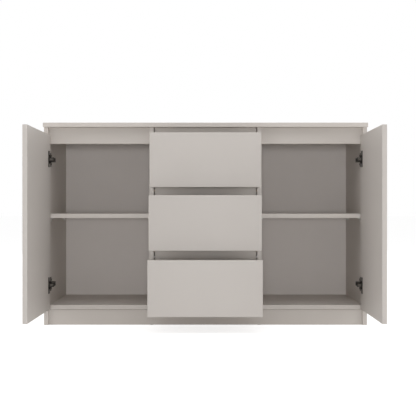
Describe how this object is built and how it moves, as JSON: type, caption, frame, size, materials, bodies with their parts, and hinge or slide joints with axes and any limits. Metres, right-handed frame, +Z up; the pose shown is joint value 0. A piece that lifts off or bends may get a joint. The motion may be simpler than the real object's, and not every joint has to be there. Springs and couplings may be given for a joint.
{
  "type": "sideboard buffet",
  "caption": "Low handle-less sideboard with hinged side doors over shelves and roller drawers between them.",
  "frame": {"origin": "on the floor, in the middle of the closed cabinet's footprint", "axes": "+X to the user's right along the width, +Y to the back, +Z up"},
  "size_m": [1.2, 0.7815, 0.75],
  "materials": {
    "laminate": "warm light grey melamine laminate on chipboard, satin",
    "laminate_front": "warm light grey melamine laminate, satin, edges banded to match",
    "back_board": "thin fibreboard with a light grey lacquer",
    "drawer_laminate": "thin laminated drawer boards",
    "hinge_metal": "dark nickel-plated hinge steel",
    "runner_metal": "powder-coated steel",
    "roller_plastic": "white nylon",
    "fitting_metal": "zinc-plated fittings",
    "dowel_wood": "beech",
    "glide_plastic": "pale grey plastic"
  },
  "bodies": {
    "root": {"top_panel": "laminate", "bottom_panel": "laminate", "left_side_panel": "laminate", "right_side_panel": "laminate", "left_partition": "laminate", "right_partition": "laminate", "plinth": "laminate", "left_top_rail": "laminate", "right_top_rail": "laminate", "drawer_top_rail": "laminate", "lower_drawer_rail": "laminate", "upper_drawer_rail": "laminate", "left_back_panel": "back_board", "right_back_panel": "back_board", "centre_back_panel": "back_board", "back_nails": "fitting_metal", "cam_fittings": "fitting_metal", "wood_dowels": "dowel_wood", "floor_glides": "glide_plastic", "left_shelf": "laminate", "right_shelf": "laminate", "shelf_pins": "fitting_metal", "hinge_plates": "hinge_metal", "hinge_arms": "hinge_metal", "cabinet_runners": "runner_metal"},
    "left_carrying_links": {"left_carrying_links": "hinge_metal"},
    "left_door": {"left_door": "laminate_front", "left_hinge_cups": "hinge_metal"},
    "left_guiding_links": {"left_guiding_links": "hinge_metal"},
    "right_carrying_links": {"right_carrying_links": "hinge_metal"},
    "right_door": {"right_door": "laminate_front", "right_hinge_cups": "hinge_metal"},
    "right_guiding_links": {"right_guiding_links": "hinge_metal"},
    "upper_drawer": {"upper_drawer_front": "laminate_front", "upper_drawer_left_side": "drawer_laminate", "upper_drawer_right_side": "drawer_laminate", "upper_drawer_back": "drawer_laminate", "upper_drawer_bottom": "back_board", "upper_drawer_runners": "runner_metal", "upper_drawer_fittings": "fitting_metal"},
    "upper_rear_rollers": {"upper_drawer_rear_rollers": "roller_plastic"},
    "upper_cabinet_rollers": {"upper_drawer_cabinet_rollers": "roller_plastic"},
    "middle_drawer": {"middle_drawer_front": "laminate_front", "middle_drawer_left_side": "drawer_laminate", "middle_drawer_right_side": "drawer_laminate", "middle_drawer_back": "drawer_laminate", "middle_drawer_bottom": "back_board", "middle_drawer_runners": "runner_metal", "middle_drawer_fittings": "fitting_metal"},
    "middle_rear_rollers": {"middle_drawer_rear_rollers": "roller_plastic"},
    "middle_cabinet_rollers": {"middle_drawer_cabinet_rollers": "roller_plastic"},
    "lower_drawer": {"lower_drawer_front": "laminate_front", "lower_drawer_left_side": "drawer_laminate", "lower_drawer_right_side": "drawer_laminate", "lower_drawer_back": "drawer_laminate", "lower_drawer_bottom": "back_board", "lower_drawer_runners": "runner_metal", "lower_drawer_fittings": "fitting_metal"},
    "lower_rear_rollers": {"lower_drawer_rear_rollers": "roller_plastic"},
    "lower_cabinet_rollers": {"lower_drawer_cabinet_rollers": "roller_plastic"}
  },
  "joints": [
    {"name": "left_carrying_links_turn", "type": "hinge", "parent": "root", "child": "left_carrying_links", "pos_m": [-0.5698, -0.17657, 0], "axis": [0, 0, -1], "range_deg": [-2.94, 40.91]},
    {"name": "left_door_swing", "type": "hinge", "parent": "left_carrying_links", "child": "left_door", "pos_m": [-0.57717, -0.19536, 0], "axis": [0, 0, -1], "range_deg": [-130.01, 7.84]},
    {"name": "left_guiding_links_turn", "type": "hinge", "parent": "left_door", "child": "left_guiding_links", "pos_m": [-0.58079, -0.19724, 0], "axis": [0, 0, -1], "range_deg": [-7.14, 110.66]},
    {"name": "right_carrying_links_turn", "type": "hinge", "parent": "root", "child": "right_carrying_links", "pos_m": [0.5698, -0.17657, 0], "axis": [0, 0, 1], "range_deg": [-2.94, 40.91]},
    {"name": "right_door_swing", "type": "hinge", "parent": "right_carrying_links", "child": "right_door", "pos_m": [0.57717, -0.19536, 0], "axis": [0, 0, 1], "range_deg": [-130.01, 7.84]},
    {"name": "right_guiding_links_turn", "type": "hinge", "parent": "right_door", "child": "right_guiding_links", "pos_m": [0.58079, -0.19724, 0], "axis": [0, 0, 1], "range_deg": [-7.14, 110.66]},
    {"name": "upper_drawer_slide", "type": "slide", "parent": "root", "child": "upper_drawer", "axis": [0, -1, 0], "range_m": [-0.102, 0.158]},
    {"name": "upper_rear_rollers_spin", "type": "hinge", "parent": "upper_drawer", "child": "upper_rear_rollers", "pos_m": [0, 0.054, 0.5467], "axis": [1, 0, 0], "range_deg": [-735.52, 1136.59]},
    {"name": "upper_cabinet_rollers_spin", "type": "hinge", "parent": "root", "child": "upper_cabinet_rollers", "pos_m": [0, -0.169, 0.5467], "axis": [1, 0, 0], "range_deg": [-735.52, 1136.59]},
    {"name": "middle_drawer_slide", "type": "slide", "parent": "root", "child": "middle_drawer", "axis": [0, -1, 0], "range_m": [-0.155, 0.105]},
    {"name": "middle_rear_rollers_spin", "type": "hinge", "parent": "middle_drawer", "child": "middle_rear_rollers", "pos_m": [0, 0.001, 0.3222], "axis": [1, 0, 0], "range_deg": [-1115.11, 757.01]},
    {"name": "middle_cabinet_rollers_spin", "type": "hinge", "parent": "root", "child": "middle_cabinet_rollers", "pos_m": [0, -0.169, 0.3222], "axis": [1, 0, 0], "range_deg": [-1115.11, 757.01]},
    {"name": "lower_drawer_slide", "type": "slide", "parent": "root", "child": "lower_drawer", "axis": [0, -1, 0], "range_m": [-0.209, 0.051]},
    {"name": "lower_rear_rollers_spin", "type": "hinge", "parent": "lower_drawer", "child": "lower_rear_rollers", "pos_m": [0, -0.053, 0.0977], "axis": [1, 0, 0], "range_deg": [-1501.85, 370.26]},
    {"name": "lower_cabinet_rollers_spin", "type": "hinge", "parent": "root", "child": "lower_cabinet_rollers", "pos_m": [0, -0.169, 0.0977], "axis": [1, 0, 0], "range_deg": [-1501.85, 370.26]}
  ],
  "couplings": [
    {"joint": "left_carrying_links_turn", "follows": "left_door_swing", "ratio": -0.31082},
    {"joint": "left_guiding_links_turn", "follows": "left_door_swing", "ratio": -0.84731},
    {"joint": "right_carrying_links_turn", "follows": "right_door_swing", "ratio": -0.31082},
    {"joint": "right_guiding_links_turn", "follows": "right_door_swing", "ratio": -0.84731},
    {"joint": "upper_rear_rollers_spin", "follows": "upper_drawer_slide", "rad_per_m": 125},
    {"joint": "upper_cabinet_rollers_spin", "follows": "upper_drawer_slide", "rad_per_m": 125},
    {"joint": "middle_rear_rollers_spin", "follows": "middle_drawer_slide", "rad_per_m": 125},
    {"joint": "middle_cabinet_rollers_spin", "follows": "middle_drawer_slide", "rad_per_m": 125},
    {"joint": "lower_rear_rollers_spin", "follows": "lower_drawer_slide", "rad_per_m": 125},
    {"joint": "lower_cabinet_rollers_spin", "follows": "lower_drawer_slide", "rad_per_m": 125}
  ]
}
